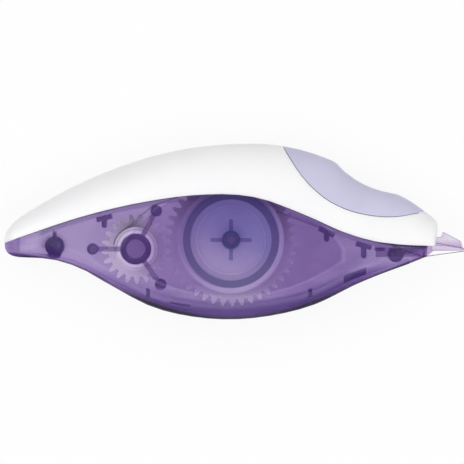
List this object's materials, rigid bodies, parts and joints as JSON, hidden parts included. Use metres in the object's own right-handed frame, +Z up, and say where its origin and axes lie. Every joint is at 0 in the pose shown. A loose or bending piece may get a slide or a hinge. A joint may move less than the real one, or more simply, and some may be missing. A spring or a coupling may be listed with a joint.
{
  "type": "correction tape dispenser",
  "caption": "Hand-held correction tape dispenser: see-through violet window shells, white top cover, soft finger grip, geared supply and take-up reels, clear applicator tip.",
  "frame": {"origin": "on the supply reel's axis, in the plane of the flat lower side pad on which the dispenser lies", "axes": "+X from the tail to the applicator tip, +Y from the window's belly to the cover's crown, +Z up through the thickness"},
  "size_m": [0.1219, 0.0463, 0.017],
  "materials": {
    "window": "clear violet",
    "cover": "satin white",
    "grip": "matt lavender",
    "tip": "clear pale lilac",
    "gear": "matt white",
    "spring": "matt grey",
    "reel": "clear blue",
    "film": "matt white",
    "liner": "matt paper"
  },
  "bodies": {
    "casing": {"front_shell": "window", "rear_shell": "window", "top_cover": "cover", "finger_grip": "grip", "applicator_tip": "tip", "feed_liner": "liner", "white_film": "film", "return_liner": "liner"},
    "gear": {"drive_gear": "gear", "clutch_spring": "spring"},
    "supply": {"supply_reel": "reel", "supply_tape": "film"},
    "take_up": {"take_up_reel": "gear", "used_tape": "liner"}
  },
  "joints": [
    {"name": "drive_gear_spin", "type": "hinge", "parent": "casing", "child": "gear", "pos_m": [0, 0, 0.0085], "axis": [0, 0, 1], "continuous": true},
    {"name": "supply_clutch_slip", "type": "hinge", "parent": "gear", "child": "supply", "pos_m": [0, 0, 0.0085], "axis": [0, 0, 1], "continuous": true},
    {"name": "take_up_spin", "type": "hinge", "parent": "casing", "child": "take_up", "pos_m": [-0.02509, -0.00237, 0.0085], "axis": [0, 0, 1], "continuous": true}
  ],
  "couplings": [
    {"joint": "take_up_spin", "follows": "drive_gear_spin", "ratio": -2}
  ]
}
